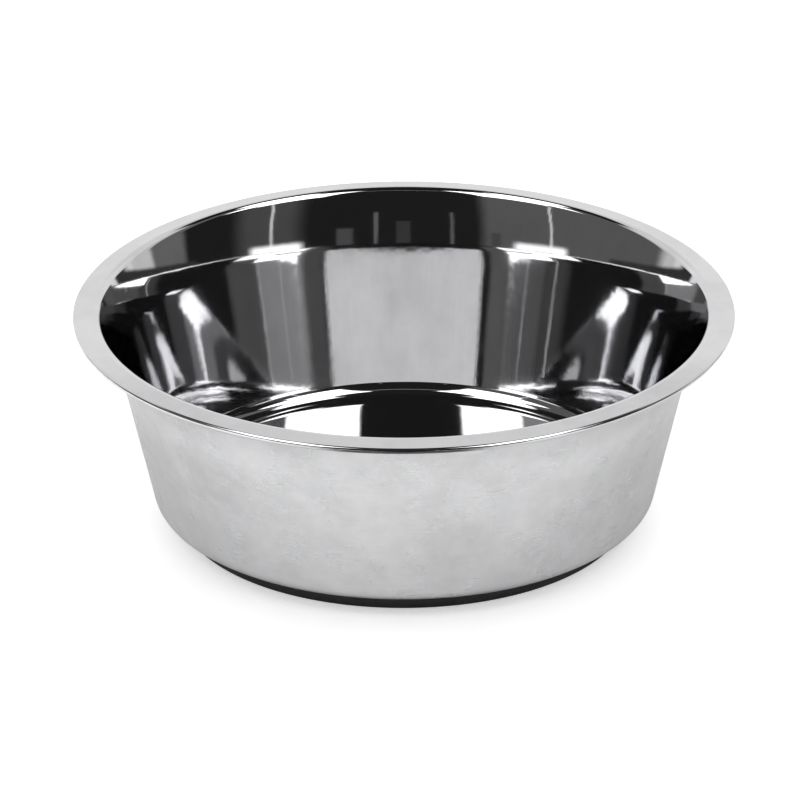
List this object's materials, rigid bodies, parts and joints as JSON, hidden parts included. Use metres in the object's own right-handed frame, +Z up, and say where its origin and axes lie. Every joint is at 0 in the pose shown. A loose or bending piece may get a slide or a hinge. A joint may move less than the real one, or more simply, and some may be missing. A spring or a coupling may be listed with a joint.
{
  "type": "pet food bowl",
  "caption": "Round stainless steel pet food bowl with a tapered wall that flares at its mouth, a drooping rim flange with a folded hem, and a black rubber ring under its flat base.",
  "frame": {"origin": "on the surface that the bowl stands on, on the bowl's axis", "axes": "+Z up along the bowl's axis, out of its mouth; the bowl is round, so +X and +Y are any two directions square to it"},
  "size_m": [0.24, 0.24, 0.0814],
  "materials": {
    "steel": "mirror polished inside and on the flange, satin polished outside, with faint drawing marks",
    "rubber": "matt black moulded rubber"
  },
  "bodies": {
    "root": {"bowl_shell": "steel", "nonslip_ring": "rubber"}
  },
  "joints": []
}
